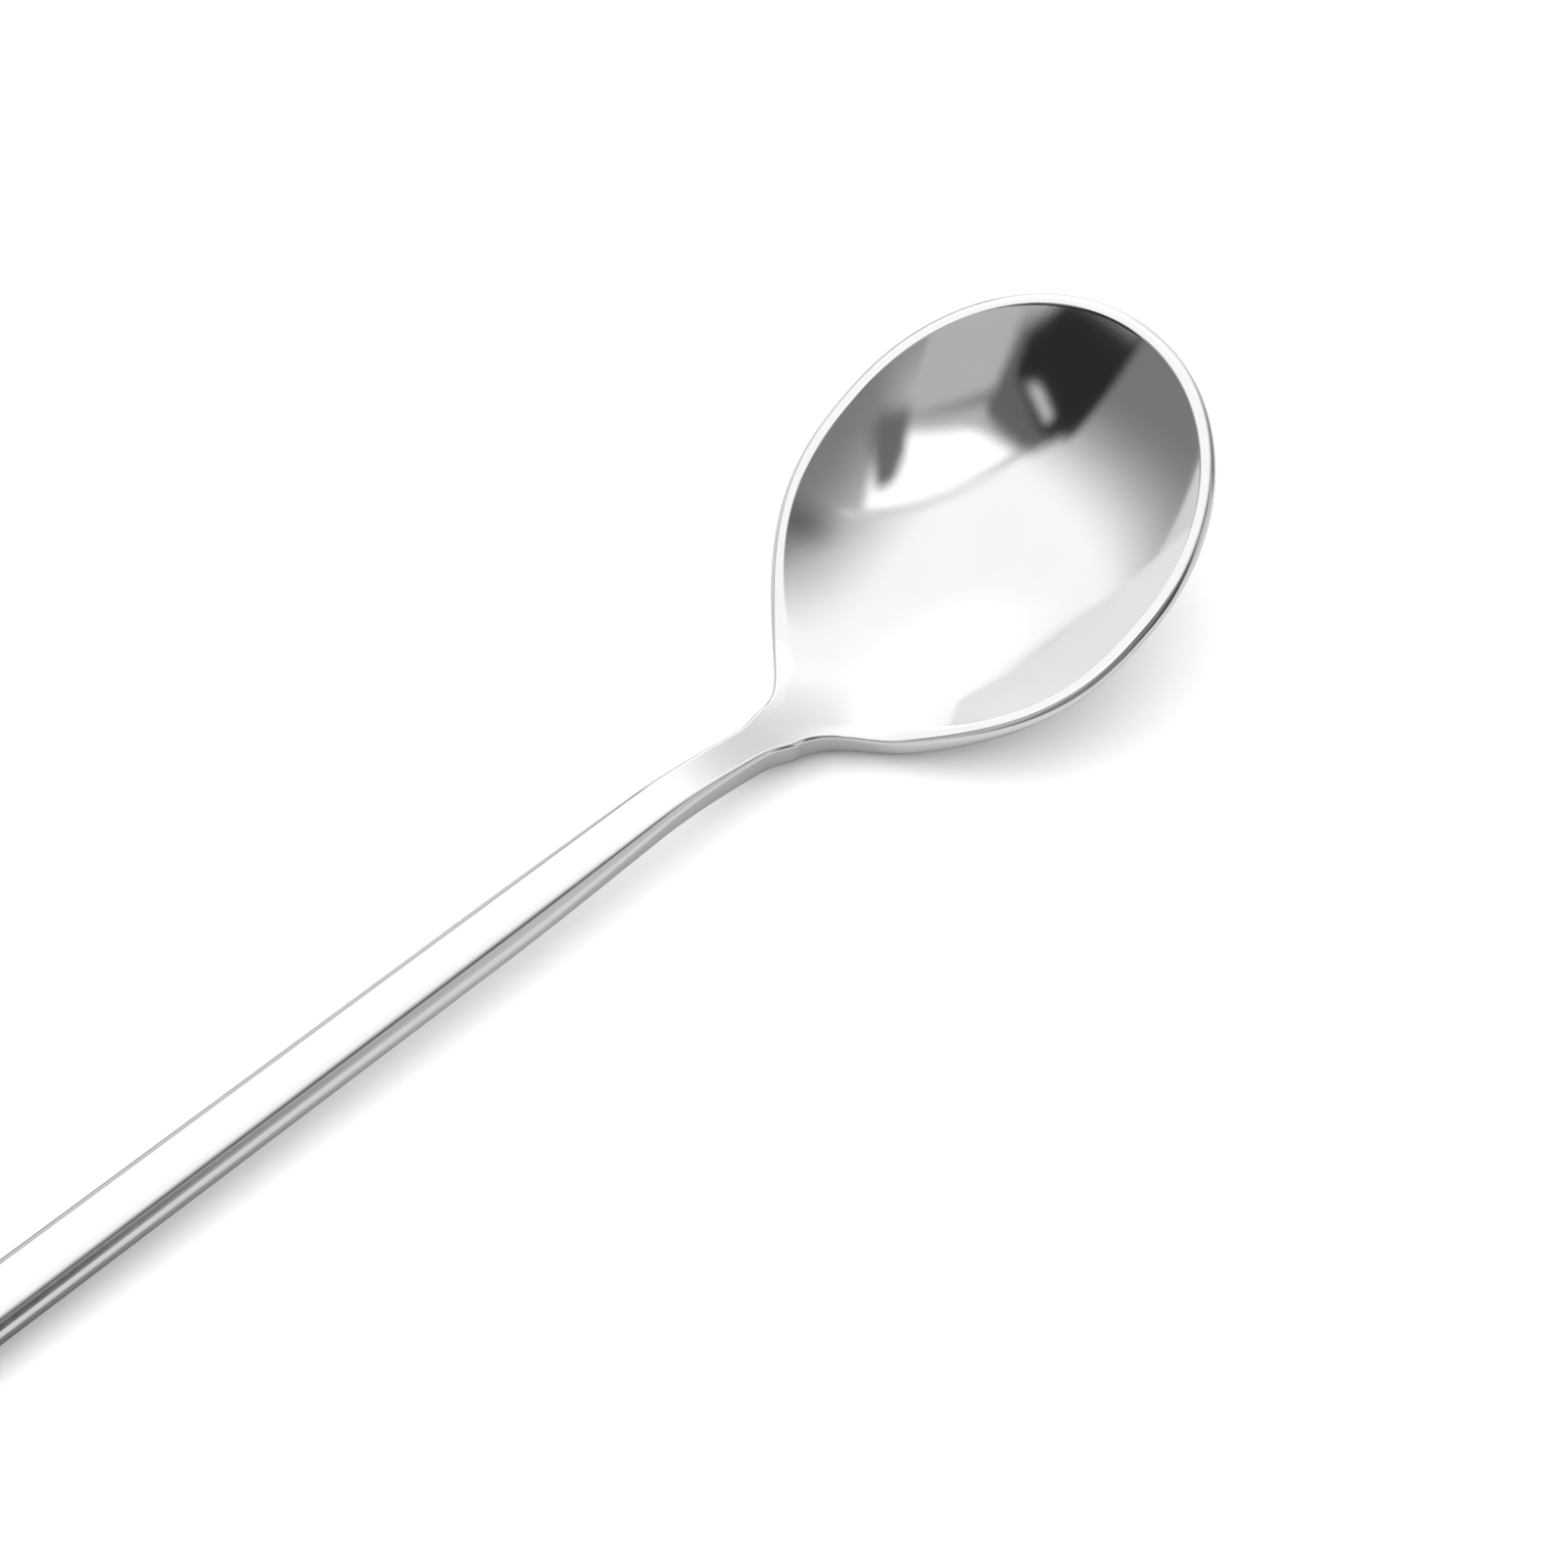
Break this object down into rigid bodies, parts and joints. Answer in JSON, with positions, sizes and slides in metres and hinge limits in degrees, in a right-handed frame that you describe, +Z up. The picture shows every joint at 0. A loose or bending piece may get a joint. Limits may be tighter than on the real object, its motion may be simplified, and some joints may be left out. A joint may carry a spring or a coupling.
{
  "type": "long-handled stirring spoon",
  "caption": "Polished steel spoon with a deep egg-shaped bowl whose rim rises to the tip, drawn in to a slim neck, on a long straight tapered bar handle; for stirring tall drinks.",
  "frame": {"origin": "on the surface that the spoon lies on, below the middle of its length and width", "axes": "+X along the spoon towards the tip of the bowl, +Z up out of the bowl's open side"},
  "size_m": [0.2048, 0.033, 0.0191],
  "materials": {
    "polished_steel": "polished",
    "braze_metal": "satin"
  },
  "bodies": {
    "root": {"bowl": "polished_steel", "handle": "polished_steel", "braze_sleeve": "braze_metal"}
  },
  "joints": []
}
